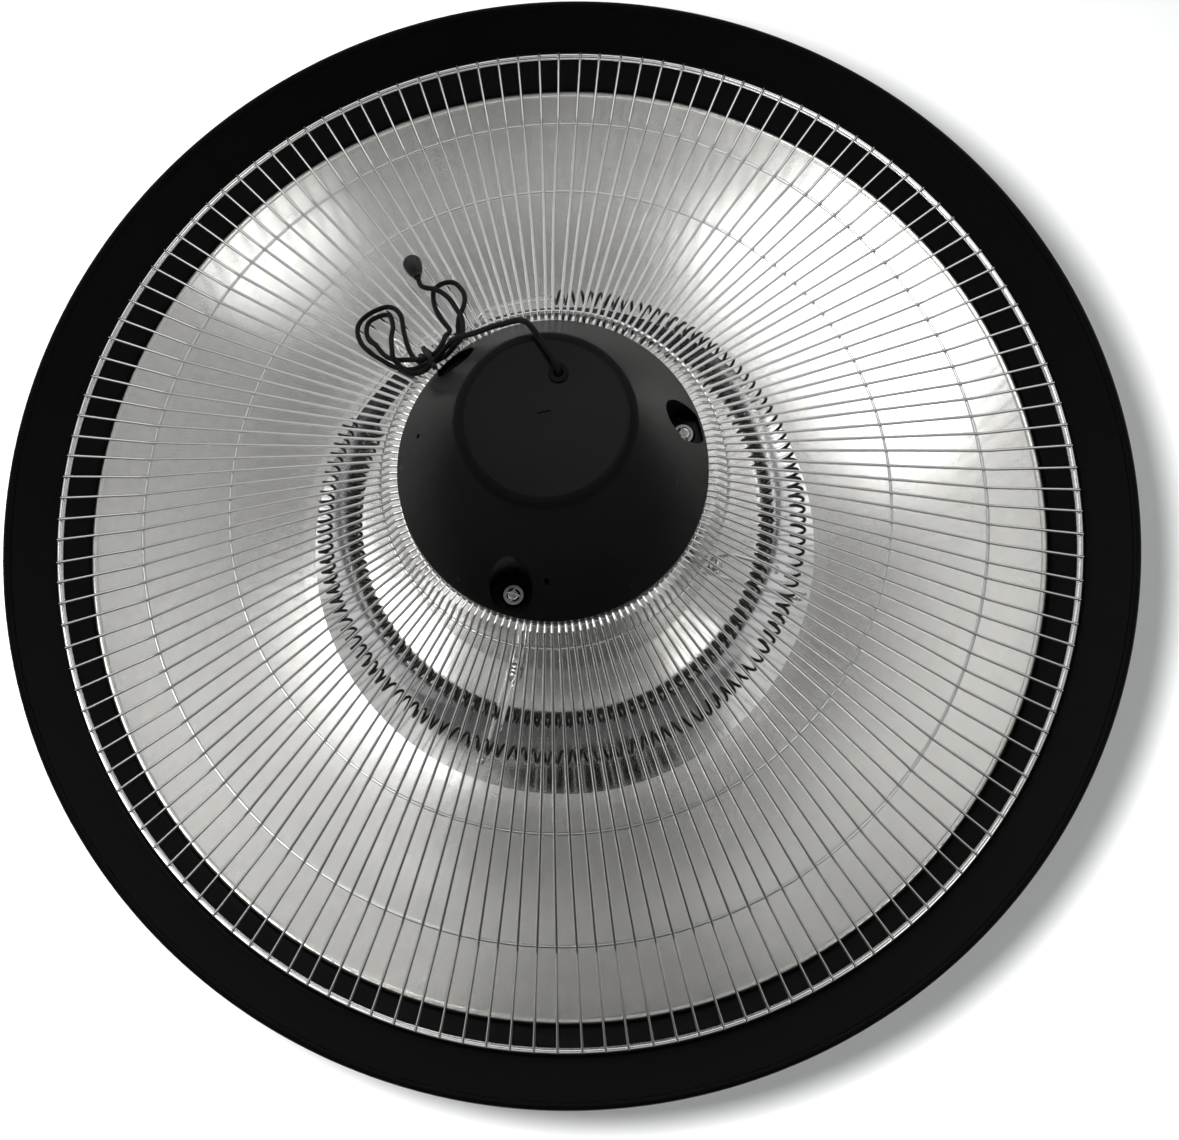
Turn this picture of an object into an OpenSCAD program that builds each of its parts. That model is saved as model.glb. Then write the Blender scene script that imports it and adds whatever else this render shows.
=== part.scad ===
/* [Hanging eye] */
// Wire diameter of the hanging eye
eye_wire_d = 5; // [4:0.5:7]
// Inside diameter of the hanging eye
eye_bore = 18; // [14:1:26]
// Diameter of the eye's threaded stem
eye_stem_d = 8; // [6:1:10]

/* [Cap] */
// Outside diameter of the cap over the wiring space
cap_d = 108; // [106:1:112]
// Height of the cap
cap_h = 20; // [18:1:30]
// Wall of the cap
cap_wall = 2; // [1.5:0.1:3]
// Bore of the cable gland
gland_bore = 7; // [5:0.5:8]

/* [Shade] */
// Outside diameter of the shade at its rim
rim_d = 425; // [420:1:470]
// Depth of the shade from the rim plane to its flat back
shade_depth = 96; // [92:1:120]
// Sheet thickness of the shade
shade_wall = 1.2; // [0.8:0.1:2]
// Diameter of the flat back of the shade
back_d = 124; // [116:1:150]
// Thickness of the bead rolled round the rim
rim_bead_d = 3; // [2.5:0.1:4]

/* [Guard] */
// Diameter of the guard's outer ring along its wire
guard_d = 390; // [384:1:396]
// Wire of the outer ring
ring_wire_d = 2.6; // [2:0.1:3]
// Wire of the radial bars
bar_wire_d = 1.1; // [0.9:0.1:1.6]
// Wire of the three cross rings
cross_wire_d = 1.2; // [0.8:0.1:1.6]
// Number of radial bars
bar_count = 144; // [72:12:144]
// How far the bars' outer ends lie behind the rim plane
guard_sink = 10; // [8:0.5:14]
// Diameter where the bars turn up into the cone
knee_d = 320; // [300:1:336]
// How far the knee lies behind the rim plane
knee_sink = 0.8; // [0:0.1:4]
// Diameter of the middle cross ring
mid_ring_d = 239; // [200:1:260]
// Diameter where the bars turn up steeply towards the hub
neck_d = 116; // [114:1:124]

/* [Reflector] */
// Outside diameter of the reflector dish at its rolled edge
dish_d = 376; // [370:1:380]
// How far the rolled edge lies behind the rim plane
dish_sink = 26; // [24:0.5:34]
// Sheet thickness of the reflector
sheet = 0.8; // [0.6:0.1:1.2]
// How far the bottom of the dish lies behind the rim plane
dish_depth = 56; // [54:1:60]
// Diameter of the polished column under the hub
column_d = 101; // [100:0.5:102]
// Width of the column's flare at its foot
flare_w = 53.5; // [52:0.5:60]
// Length over which the flare dies away
flare_len = 22; // [18:0.5:24]

/* [Elements] */
// Diameter of the outer ring tube along its centreline
outer_ring_d = 183; // [180:1:188]
// How far the outer tube's centreline lies behind the rim plane
outer_sink = 16.5; // [15:0.5:20]
// Diameter of the inner ring tube along its centreline
inner_ring_d = 156.4; // [154:0.2:158]
// How far the inner tube's centreline lies behind the rim plane
inner_sink = 8; // [6:0.5:9]
// Outside diameter of the quartz tubes
tube_d = 10; // [9:0.5:11]
// Wall of the quartz tubes
tube_wall = 1.2; // [1:0.1:1.4]
// Outside diameter of the heating coils
coil_d = 6; // [5:0.1:6.2]
// Wire of the heating coils
coil_wire_d = 1; // [0.8:0.1:1.2]
// Turns in each heating coil
coil_turns = 39; // [12:1:42]
// Diameter of the ceramic sockets
socket_d = 12.6; // [12:0.1:13]
// Wire of the spring clips that hold the tubes
clip_wire_d = 1.6; // [1.2:0.1:2]

/* [Hub] */
// Diameter of the hub cover at its foot
cover_d = 103; // [102:1:108]
// How far the foot of the cover stands proud of the rim plane
cover_foot = 52; // [48:1:58]
// Height of the cover from its foot to its flat face
cover_h = 55; // [46:1:62]
// Diameter of the flat face of the cover
face_d = 52; // [46:1:56]
// Wall of the cover
cover_wall = 2; // [1.5:0.1:2.5]
// Diameter of the circle of hub screws
screw_circle_d = 89; // [87:0.5:90]
// Diameter of the pockets sunk round the screws
pocket_d = 14; // [12:0.5:14.5]
// Diameter of the cup washers
washer_d = 8; // [7:0.5:9]
// Diameter of the posts that the hub is screwed to
post_d = 8; // [7:0.5:8.5]
// Thread diameter of the hub screws
screw_d = 4; // [3:0.5:4.5]

/* [Switch and cord] */
// Length of the switch housing
switch_l = 30; // [26:1:34]
// Width of the switch housing
switch_w = 18; // [16:1:20]
// Height of the switch housing
switch_h = 28; // [24:1:32]
// Travel of the switch when the cord is pulled
travel = 8; // [5:0.5:10]
// Diameter of the switch plunger
plunger_d = 6; // [5:0.5:8]
// Diameter of the braided pull cord
cord_d = 1.8; // [1.4:0.1:2]
// Diameter of the pull knob
knob_d = 7; // [6:0.5:9]
// Length of the pull knob
knob_l = 10; // [9:0.5:14]

/* [Hidden] */
$fn = 48;

gland_x = 30;
gland_thread = 12;
gland_hex = 16;
gland_hex_h = 4;
block_x = -30;
block_w = 16;
block_l = 30;
block_h = 11;
clip_sink = 20;
// Gap left between pieces that are laid together
gap = 0.2;
// Gap left where wires are spot welded
weld = 0.02;
// Bends are this much fatter than the straights, and the straights run this far into them
bend_swell = 0.02;
bend_lap = 0.05;
// Glass thickens this much where it is bent
tube_swell = 0.3;
// Running clearance round the switch plunger
slide_gap = 0.1;
eye_washer_t = 1.5;
eye_washer_d = 24;
nut_t = 5;
nut_d = 14;
// From the bearing point of the eye down to the rim plane
rim_drop = eye_bore + eye_wire_d + eye_washer_t + 3 * gap + cap_h + shade_wall + shade_depth;
back_z = -shade_depth - shade_wall;
cap_top_z = back_z - gap - cap_h;

// Guard heights, seen as a profile of radius and height over the rim plane
neck_z = cover_foot - 4.8;
bar_end_r = guard_d / 2;
bar_profile = [[bar_end_r, -guard_sink], [knee_d / 2, -knee_sink], [neck_d / 2, neck_z],
    [neck_d / 2 - 3.4, cover_foot - 0.85], [cover_d / 2 - 1.2, cover_foot - 0.85]];
// Height of the bars' own line at radius r
function bar_z(r) = r > knee_d / 2
    ? lerp(-knee_sink, -guard_sink, (r - knee_d / 2) / (bar_end_r - knee_d / 2))
    : lerp(neck_z, -knee_sink, (r - neck_d / 2) / (knee_d / 2 - neck_d / 2));
// Length of the square pressing past each bend
press_run = 0.6;
cone_slope = atan((neck_z + knee_sink) / (knee_d / 2 - neck_d / 2));
rim_slope = atan((guard_sink - knee_sink) / (guard_d - knee_d) * 2);
ring_r = guard_d / 2;
ring_z = -guard_sink - (bar_wire_d + ring_wire_d) / 2 / cos(rim_slope) - weld;
cross_off = (bar_wire_d + cross_wire_d) / 2 + weld;

// Reflector
bead_d = 3 * sheet;
dish_r = dish_d / 2 - bead_d / 2;
column_r = column_d / 2;
column_top_z = cover_foot - 3.4;
flange_z = -dish_depth + sheet + gap;
flange_r = column_r + flare_w;
lap = 4.5;
function flare_r(z) = column_r + flare_w * exp(-(z - flange_z) / flare_len);
function flare_z(r) = flange_z - flare_len * ln((r - column_r) / flare_w);

// Ring tubes: their ends turn back into sockets on both sides of this angle
end_angle = 111;
end_pitch = 16;
end_bend_r = 8;
tube_bore = tube_d - 2 * tube_wall;
coil_from = 148;
coil_to = 447;
lead_d = 1.2;
rings = [[outer_ring_d / 2, -outer_sink], [inner_ring_d / 2, -inner_sink]];
socket_h = 26;
socket_proud = 12;
leg_depth = 12;

// Angle of a socket from the middle of the two ends, and of the end of the tube's arc
function socket_angle(r) = asin(end_pitch / 2 / sqrt(r * r + end_bend_r * end_bend_r));
function arc_end(r) = socket_angle(r) + atan(end_bend_r / r);
function socket_r(r) = sqrt(r * r + end_bend_r * end_bend_r);

// Clips and hub fixings
clip_angles = [-22, -111, 128];
clip_head_d = clip_wire_d * 2 + 2;
screw_angles = [9, 129, 249];
drain_angles = [0, 168, 264];
drain_r = 42;
face_z = cover_foot + cover_h;
lip_h = 4;
pocket_floor = cover_foot + cover_wall + 0.4;
plate_t = 1.5;
plate_z = column_top_z + gap;
// Head of the hub screws, lying in the cup of its washer
hub_head_d = screw_d + 0.15 * washer_d - 0.6;
cup_r = hub_head_d / 2 + gap;
cup_t = 1.6;
cup_floor = 0.5;
// Depth of the threads in both ends of a post, and how far a screw reaches into them
thread_depth = 15;
screw_bite = 12;
post_bottom = -shade_depth + gap;
post_top = plate_z - gap;

// Switch, standing over the hub plate, and the cord's way out of it
cord_x = 5;
cord_y = 13;
switch_z = plate_z + plate_t;
plunger_head = 3;
plunger_top = face_z - cover_wall - travel - plunger_head - 6;
plunger_low = switch_z + 6;
bush_d = cord_d + 2.4;
bush_flange = 0.8;
tie_at = [-38.11, 42.51, 54.71];
tie_turn = 24;
tie_w = 1.6;

// Route of the pull cord: out of the hub's face, over its edge, down its slope, then in three
// loops that lie on the guard, and on to the knob. Each point is x, y and height over the rim plane.
cord_route = [[cord_x, cord_y, plunger_top],
    [5, 13, 104], [5, 13, 108.3], [4, 16, 109.8], [1, 22, 109.5], [-3, 29, 108.5], [-11, 34, 97],
    [-20, 38, 83], [-28.2, 42.2, 69.2], [-30.9, 44, 60.6], [-36.1, 40.1, 57.7],
    [-40.5, 38.1, 54.2], [-45.4, 39, 51.6], [-48.8, 42.4, 50.4], [-50.8, 45.3, 50.9],
    [-51.2, 48.7, 49.8], [-52.1, 55.6, 43.6], [-52, 62.5, 38.5], [-53.5, 67.5, 36],
    [-57.5, 68, 34.5], [-61, 66.5, 34], [-62, 63, 35], [-61, 58.5, 37], [-58, 54.5, 41],
    [-54.6, 49.1, 44.1], [-50.7, 46.2, 46.8], [-45.4, 44, 51.1], [-40.1, 42.2, 55.3],
    [-35.6, 43.1, 56.8], [-33, 46.7, 56.3], [-32.4, 50.4, 52.5], [-31.2, 54.7, 47.3],
    [-33.6, 59.6, 44.6], [-36, 65.5, 41.5], [-36.9, 70.5, 38.9], [-36.4, 74.9, 37.2],
    [-33.5, 77, 37], [-29.5, 76.5, 38], [-27, 73.5, 39.5], [-25.5, 69, 42], [-26, 64.5, 44],
    [-27.6, 60.6, 45.1], [-28.1, 56.6, 47.2], [-28.2, 51.8, 48.8], [-29.4, 48.4, 52],
    [-32.5, 46.1, 53.6], [-37.6, 44.1, 52.8], [-41, 43.6, 50.2], [-43.4, 45, 48.1],
    [-45.3, 48.3, 45.9], [-46.7, 52.7, 43.7], [-48, 59.1, 40.6], [-49, 66, 38], [-51.5, 70, 35.5],
    [-54.5, 71.5, 34.1], [-60.5, 70, 33.5], [-64.5, 67.5, 32.5], [-65.5, 64, 33.5],
    [-64.1, 58.1, 35.8], [-60.5, 53, 38.6], [-56.1, 48.6, 41.6], [-51.7, 44.7, 44.2],
    [-45.4, 41.4, 48.5], [-40.6, 40.6, 52.8], [-36.1, 41.2, 54.3], [-32, 43.5, 53.7],
    [-28.9, 46, 55], [-26.8, 48.8, 53.9], [-26.2, 52.7, 52.3], [-26.6, 58.1, 49.1],
    [-28.6, 63.1, 46.6], [-31, 68, 44.5], [-35.1, 72.6, 41.7], [-39.6, 75.6, 38.2],
    [-41.5, 78, 35.5], [-42.5, 81.5, 34.5]];
cord_end = cord_route[len(cord_route) - 1];
cord_aim = unit(cord_end - cord_route[len(cord_route) - 2]);

// Measures between two values
function lerp(a, b, t) = a + (b - a) * t;
function unit(v) = v / norm(v);
function polar(r, a) = [r * cos(a), r * sin(a)];
function reverse(list) = [for (i = [len(list) - 1:-1:0]) list[i]];
// Quadratic curve through a and c, pulled towards b
function curve(a, b, c, n) = [for (i = [0:n]) let (t = i / n)
    a * (1 - t) * (1 - t) + b * 2 * t * (1 - t) + c * t * t];
// Direction of a line of points at point i
function heading(p, i) = unit(p[min(i + 1, len(p) - 1)] - p[max(i - 1, 0)]);
// A line of plane points moved sideways by d
function beside(p, d) = [for (i = [0:len(p) - 1]) let (h = heading(p, i)) p[i] + d * [h.y, -h.x]];
// Outline of a sheet of thickness t that follows a line of points
function sheet_outline(p, t) = concat(p, reverse(beside(p, t)));

// The face frame: x to the right and y up as one looks up at the heater, z towards the room
module facing() {
    translate([0, 0, -rim_drop])
        rotate([180, 0, 0])
            children();
}

// Copies of a piece turned round the axis
module around(angles) {
    for (a = angles)
        rotate([0, 0, a])
            children();
}

// Wire along a bent line in the XZ plane, with a round bend of radius r at each corner
module bent_wire(p, d, r) {
    last = len(p) - 1;
    dirs = [for (i = [0:last - 1]) unit(p[i + 1] - p[i])];
    turns = [for (i = [1:last - 1]) let (u = dirs[i - 1], v = dirs[i])
        atan2(u.x * v.y - u.y * v.x, u.x * v.x + u.y * v.y)];
    cuts = [for (t = turns) r * tan(abs(t) / 2)];
    for (i = [0:last - 1]) {
        from = i == 0 ? 0 : cuts[i - 1] - bend_lap;
        to = norm(p[i + 1] - p[i]) - (i == last - 1 ? 0 : cuts[i] - bend_lap);
        a = p[i] + from * dirs[i];
        translate([a.x, 0, a.y])
            rotate([0, atan2(dirs[i].x, dirs[i].y), 0])
                cylinder(d = d, h = to - from);
    }
    for (i = [1:last - 1]) {
        u = dirs[i - 1];
        s = sign(turns[i - 1]);
        side = s * [-u.y, u.x];
        start = p[i] - cuts[i - 1] * u;
        middle = start + r * side;
        first = atan2(-side.y, -side.x);
        translate([middle.x, 0, middle.y])
            rotate([90, 0, 0])
                rotate([0, 0, s > 0 ? first : first + turns[i - 1]])
                    rotate_extrude(angle = abs(turns[i - 1]))
                        translate([r, 0])
                            circle(d = d + bend_swell);
    }
}

// Wire pressed square along a bent line in the XZ plane
module pressed_wire(p, w) {
    rotate([90, 0, 0])
        linear_extrude(w, center = true)
            polygon(concat(beside(p, w / 2), reverse(beside(p, -w / 2))));
}

// Closed ring of round wire
module wire_ring(r, d) {
    rotate_extrude($fn = 180)
        translate([r, 0])
            circle(d = d, $fn = 32);
}

// Wire or cord swept along points of space, each ring of faces turned square to the line
module tube_along(p, refs, d, sides) {
    last = len(p) - 1;
    rings = [for (i = [0:last]) let (t = heading(p, i), n = square_to(refs[i], t), b = cross(t, n))
        for (k = [0:sides - 1]) p[i] + d / 2 * (cos(360 * k / sides) * n + sin(360 * k / sides) * b)];
    walls = [for (i = [0:last - 1], k = [0:sides - 1])
        let (a = i * sides + k, b = i * sides + (k + 1) % sides)
        each [[a, a + sides, b + sides], [a, b + sides, b]]];
    caps = [for (k = [1:sides - 2]) each [[0, k, k + 1],
        [last * sides, last * sides + k + 1, last * sides + k]]];
    polyhedron(rings, concat(walls, caps));
}

// Direction n made square to t, and such directions carried along a line without twist
function square_to(n, t) = unit(n - (n * t) * t);
function carried(p, n0) = [for (i = 0, n = square_to(n0, heading(p, 0)); i < len(p);
    n = square_to(n, heading(p, min(i + 1, len(p) - 1))), i = i + 1) n];

// Least clear gap between the runs of a swept line that are at least skip points apart
function off_run(q, a, b) = let (u = b - a, t = max(0, min(1, (q - a) * u / (u * u)))) norm(q - a - t * u);
function least_gap(p, d, skip) = min([for (i = [0:len(p) - 1], j = [0:len(p) - 2])
    if (abs(i - j) >= skip && abs(i - j - 1) >= skip) off_run(p[i], p[j], p[j + 1])]) - d;

// Screw with a slotted pan head: the head hangs under z = 0 and the shank stands over it
module pan_screw(d, head_d, head_h, l) {
    difference() {
        union() {
            rotate_extrude()
                polygon(concat([[0, -head_h]],
                    curve([head_d * 0.3, -head_h], [head_d / 2, -head_h], [head_d / 2, -head_h * 0.3], 5),
                    [[head_d / 2, 0], [0, 0]]));
            translate([0, 0, -head_h / 2])
                cylinder(d = d, h = l + head_h / 2);
        }
        for (a = [0, 90])
            rotate([0, 0, a])
                translate([-head_d, -head_d * 0.07, -head_h - 1])
                    cube([2 * head_d, head_d * 0.14, 1 + head_h * 0.4]);
    }
}

// Hexagonal nut with a plain bore
module hex_nut(d, across, h) {
    difference() {
        intersection() {
            cylinder(d = across / cos(30), h = h, $fn = 6);
            rotate_extrude()
                polygon([[0, 0], [across / 2, 0], [across / 2 / cos(30), h * 0.18],
                    [across / 2 / cos(30), h * 0.82], [across / 2, h], [0, h]]);
        }
        translate([0, 0, -1])
            cylinder(d = d, h = h + 2);
    }
}

// Fixings at the top

module hanging_eye() color("silver") {
    low = -eye_bore - eye_wire_d;
    translate([0, 0, -eye_bore / 2])
        rotate([90, 0, 0])
            rotate_extrude($fn = 96)
                translate([(eye_bore + eye_wire_d) / 2, 0])
                    circle(d = eye_wire_d);
    translate([0, 0, low])
        cylinder(d = eye_stem_d + 4, h = eye_wire_d * 0.5);
    translate([0, 0, -rim_drop + shade_depth - nut_t - 4])
        cylinder(d = eye_stem_d, h = low + rim_drop - shade_depth + nut_t + 5);
}

module eye_washer() color("silver") {
    translate([0, 0, -eye_bore - eye_wire_d - gap - eye_washer_t])
        difference() {
            cylinder(d = eye_washer_d, h = eye_washer_t);
            translate([0, 0, -1])
                cylinder(d = eye_stem_d + 2 * gap, h = eye_washer_t + 2);
        }
}

module eye_nut() color("silver") facing() {
    translate([0, 0, -shade_depth + gap])
        hex_nut(eye_stem_d + slide_gap, nut_d + eye_stem_d - 8, nut_t);
}

module top_cap() color("#1a1a1a") facing() {
    r = cap_d / 2;
    low = cap_top_z + cap_h;
    outer = concat([[0, cap_top_z], [r - 5, cap_top_z]],
        curve([r - 5, cap_top_z], [r, cap_top_z], [r, cap_top_z + 5], 6), [[r, low]]);
    inner = concat([[r - cap_wall, low]],
        curve([r - cap_wall, cap_top_z + 5], [r - cap_wall, cap_top_z + cap_wall],
            [r - 5, cap_top_z + cap_wall], 6),
        [[0, cap_top_z + cap_wall]]);
    difference() {
        rotate_extrude($fn = 96)
            polygon(concat(outer, inner));
        translate([0, 0, cap_top_z - 1])
            cylinder(d = eye_stem_d + 2 * gap, h = cap_wall + 2);
        translate([gland_x, 0, cap_top_z - 1])
            cylinder(d = gland_thread + 2 * gap, h = cap_wall + 2);
    }
}

module cable_gland() color("#1a1a1a") facing() {
    difference() {
        union() {
            translate([gland_x, 0, cap_top_z - gap - gland_hex_h])
                cylinder(d = gland_hex / cos(30), h = gland_hex_h, $fn = 6);
            translate([gland_x, 0, cap_top_z - gap - gland_hex_h - 6])
                cylinder(d = gland_thread, h = 6 + gland_hex_h + cap_wall + 2 * gap + nut_t);
        }
        translate([gland_x, 0, cap_top_z - 20])
            cylinder(d = gland_bore, h = 40);
    }
}

module gland_dome() color("#1a1a1a") facing() {
    top = cap_top_z - 2 * gap - gland_hex_h;
    r = gland_hex / 2;
    translate([gland_x, 0, 0])
        difference() {
            rotate_extrude()
                polygon(concat([[0, top], [r, top], [r, top - 5]],
                    curve([r, top - 5], [r, top - 9], [gland_bore / 2 + 1.4, top - 9], 6), [[0, top - 9]]));
            translate([0, 0, top - 6.2])
                cylinder(d = gland_thread + slide_gap * 2, h = 7);
            translate([0, 0, top - 10])
                cylinder(d = gland_bore, h = 5);
        }
}

module gland_nut() color("#1a1a1a") facing() {
    translate([gland_x, 0, cap_top_z + cap_wall + gap])
        hex_nut(gland_thread + slide_gap, gland_hex, 3.5);
}

// Sheet-metal shade: a rolled rim, a flared mouth, seats for guard and dish, a bowl and a flat back
module shade() color("#141414") facing() {
    rim_r = rim_d / 2;
    mouth = [rim_r - rim_bead_d / 2, -rim_bead_d / 2 + shade_wall / 2];
    lean = atan((ring_r - dish_r) / (ring_z + dish_sink));
    guard_seat = [ring_r + (ring_wire_d / 2 + gap) / cos(lean), ring_z];
    dish_seat = [dish_r + (bead_d / 2 + gap) / cos(lean), -dish_sink];
    fall = (shade_depth - dish_sink) / (ring_z + dish_sink);
    corner = dish_seat + (dish_seat - guard_seat) * fall;
    line = concat([mouth, guard_seat], curve(dish_seat, corner, [back_d / 2, -shade_depth], 18),
        [[eye_stem_d / 2 + gap, -shade_depth]]);
    difference() {
        union() {
            rotate_extrude($fn = 180)
                polygon(sheet_outline(line, -shade_wall));
            translate([0, 0, -rim_bead_d / 2])
                wire_ring(rim_r - rim_bead_d / 2, rim_bead_d);
        }
        around(screw_angles)
            translate([screw_circle_d / 2, 0, back_z - 1])
                cylinder(d = screw_d + 2 * gap, h = shade_wall + 2);
        around([60, 180])
            translate([24, 0, back_z - 1])
                cylinder(d = 9, h = shade_wall + 2);
    }
}

module terminal_block() color("ivory") facing() {
    translate([block_x, 0, back_z - gap - block_h])
        difference() {
            translate([-block_w / 2, -block_l / 2, 0])
                cube([block_w, block_l, block_h]);
            for (y = [-1:1]) {
                translate([-block_w, y * block_l / 3, block_h / 2])
                    rotate([0, 90, 0])
                        cylinder(d = 4, h = 2 * block_w);
                for (x = [-1, 1])
                    translate([x * block_w / 4, y * block_l / 3, -1])
                        cylinder(d = 3.6, h = block_h / 2);
            }
        }
}

module terminal_screws() color("goldenrod") facing() {
    for (x = [-1, 1], y = [-1:1])
        translate([block_x + x * block_w / 4, y * block_l / 3, back_z - gap - block_h + 1.6])
            pan_screw(2, 3.2, 1.2, 2.6);
}

module support_posts() color("silver") facing() {
    around(screw_angles)
        translate([screw_circle_d / 2, 0, post_bottom])
            difference() {
                cylinder(d = post_d, h = post_top - post_bottom);
                translate([0, 0, -gap])
                    cylinder(d = screw_d + slide_gap, h = thread_depth + gap);
                translate([0, 0, post_top - post_bottom - thread_depth])
                    cylinder(d = screw_d + slide_gap, h = thread_depth + gap);
            }
}

module post_screws() color("silver") facing() {
    around(screw_angles)
        translate([screw_circle_d / 2, 0, back_z - gap])
            pan_screw(screw_d, screw_d * 1.8, screw_d * 0.6, shade_wall + 2 * gap + screw_bite);
}

// Reflectors

module outer_reflector() color("#b9b8b3") facing() {
    foot = [flange_r + 5, -dish_depth];
    edge = [dish_r, -dish_sink];
    line = concat(curve(edge, [edge.x - 34, -dish_depth + 4], foot, 14), [[flange_r - lap, -dish_depth]]);
    rotate_extrude($fn = 180)
        polygon(sheet_outline(line, -sheet));
    translate([0, 0, -dish_sink])
        wire_ring(dish_r, bead_d);
}

// Polished column: a small lip at its top and a flare at its foot that dies away up its wall
module inner_reflector() color("#d6d6d4") facing() {
    reach = (column_top_z - 3 - flange_z) / flare_len;
    flare = [for (i = [26:-1:0]) let (z = flange_z + flare_len * reach * i / 26) [flare_r(z), z]];
    line = concat([[column_r + 1.8, column_top_z], [column_r + 0.9, column_top_z - 0.5],
        [column_r + 0.5, column_top_z - 1.6]], flare);
    difference() {
        rotate_extrude($fn = 180)
            polygon(sheet_outline(line, sheet));
        for (ring = rings)
            end_places(ring)
                translate([0, 0, flange_z - 10])
                    cylinder(d = socket_d + 2 * gap, h = 60);
        around(clip_angles)
            clip_foot()
                translate([0, 0, -4])
                    cylinder(d = 2.4, h = 8);
    }
}

// Elements

// Places of the two sockets of a ring: children stand there, along the axis
module end_places(ring) {
    r = socket_r(ring.x);
    for (s = [-1, 1])
        rotate([0, 0, end_angle + s * socket_angle(ring.x)])
            translate([r, 0, 0])
                children();
}

function socket_top(ring) = flare_z(socket_r(ring.x)) + socket_proud;

// One ring of wire or tube whose ends turn back and run down into the sockets
module ring_with_ends(ring, d, from, to, foot, swell = bend_swell) {
    module arc(a, b) {
        rotate([0, 0, a])
            rotate_extrude(angle = b - a, $fn = 180)
                translate([ring.x, ring.y])
                    circle(d = d);
    }
    module end() {
        translate([ring.x, 0, ring.y - end_bend_r])
            rotate([0, -90, 0])
                rotate_extrude(angle = 90)
                    translate([end_bend_r, 0])
                        circle(d = d + swell);
        translate([ring.x, end_bend_r, foot])
            cylinder(d = d, h = ring.y - end_bend_r - foot + bend_lap);
    }
    start = end_angle + arc_end(ring.x);
    stop = end_angle - arc_end(ring.x) + 360;
    lap = bend_lap / ring.x * 180 / PI;
    arc(from <= start ? start - lap : from, to >= stop ? stop + lap : to);
    if (to >= stop)
        rotate([0, 0, stop])
            end();
    if (from <= start)
        rotate([0, 0, start])
            mirror([0, 1, 0])
                end();
}

module quartz_ring(ring) {
    foot = socket_top(ring) - leg_depth + gap;
    difference() {
        ring_with_ends(ring, tube_d, -1000, 1000, foot, tube_swell);
        ring_with_ends(ring, tube_bore, -1000, 1000, foot - 1, tube_swell);
    }
}

module outer_tube() color("#e8ecee", 0.5) facing() {
    quartz_ring(rings[0]);
}

module inner_tube() color("#e8ecee", 0.5) facing() {
    quartz_ring(rings[1]);
}

// Heating coil: a helix of wire that follows the tube's centreline and starts and ends on it
module heating_coil(ring) {
    last = coil_turns * 8;
    radius = (coil_d - coil_wire_d) / 2;
    arc = (coil_to - coil_from) / last;
    turning = [for (i = [0:last]) let (a = coil_from + arc * i, out = radius * min(1, i / 4, (last - i) / 4),
        q = 45 * i) [a, out * cos(q), out * sin(q), q]];
    line = [for (q = turning) [(ring.x + q[1]) * cos(q[0]), (ring.x + q[1]) * sin(q[0]), ring.y + q[2]]];
    sides = [for (q = turning) [cos(q[3]) * cos(q[0]), cos(q[3]) * sin(q[0]), sin(q[3])]];
    lead_in = [-sin(coil_from), cos(coil_from), 0] * coil_wire_d;
    lead_out = [-sin(coil_to), cos(coil_to), 0] * coil_wire_d;
    path = concat([line[0] - lead_in], line, [line[last] + lead_out]);
    echo(str("least gap between the turns of the coil of radius ", ring.x, ": ",
        least_gap(path, coil_wire_d, 6), " mm"));
    tube_along(path, concat([sides[0]], sides, [sides[last]]), coil_wire_d, 6);
}

module outer_coil() color("#3a3634") facing() {
    heating_coil(rings[0]);
}

module inner_coil() color("#3a3634") facing() {
    heating_coil(rings[1]);
}

// Leads: from each coil's ends along the cold part of the tube and out through the socket
module element_leads() color("#8f8f8c") facing() {
    for (ring = rings) {
        bare = (coil_wire_d + slide_gap) / ring.x * 180 / PI;
        foot = socket_top(ring) - socket_h - 6;
        ring_with_ends(ring, lead_d, coil_to + bare, 1000, foot);
        ring_with_ends(ring, lead_d, -1000, coil_from - bare, foot);
    }
}

module end_sockets() color("white") facing() {
    for (ring = rings)
        end_places(ring)
            translate([0, 0, socket_top(ring) - socket_h])
                difference() {
                    cylinder(d = socket_d, h = socket_h);
                    translate([0, 0, socket_h - leg_depth])
                        cylinder(d = tube_d + 2 * gap, h = leg_depth + 1);
                    translate([0, 0, -1])
                        cylinder(d = lead_d + 2, h = socket_h);
                }
}

// Frame on the column's wall where a clip is screwed, z square to the wall and outwards
module clip_foot() {
    r = flare_r(-clip_sink);
    tilt = atan((r - column_r) / flare_len);
    translate([r, 0, -clip_sink])
        rotate([0, 90 - tilt, 0])
            children();
}

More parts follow.
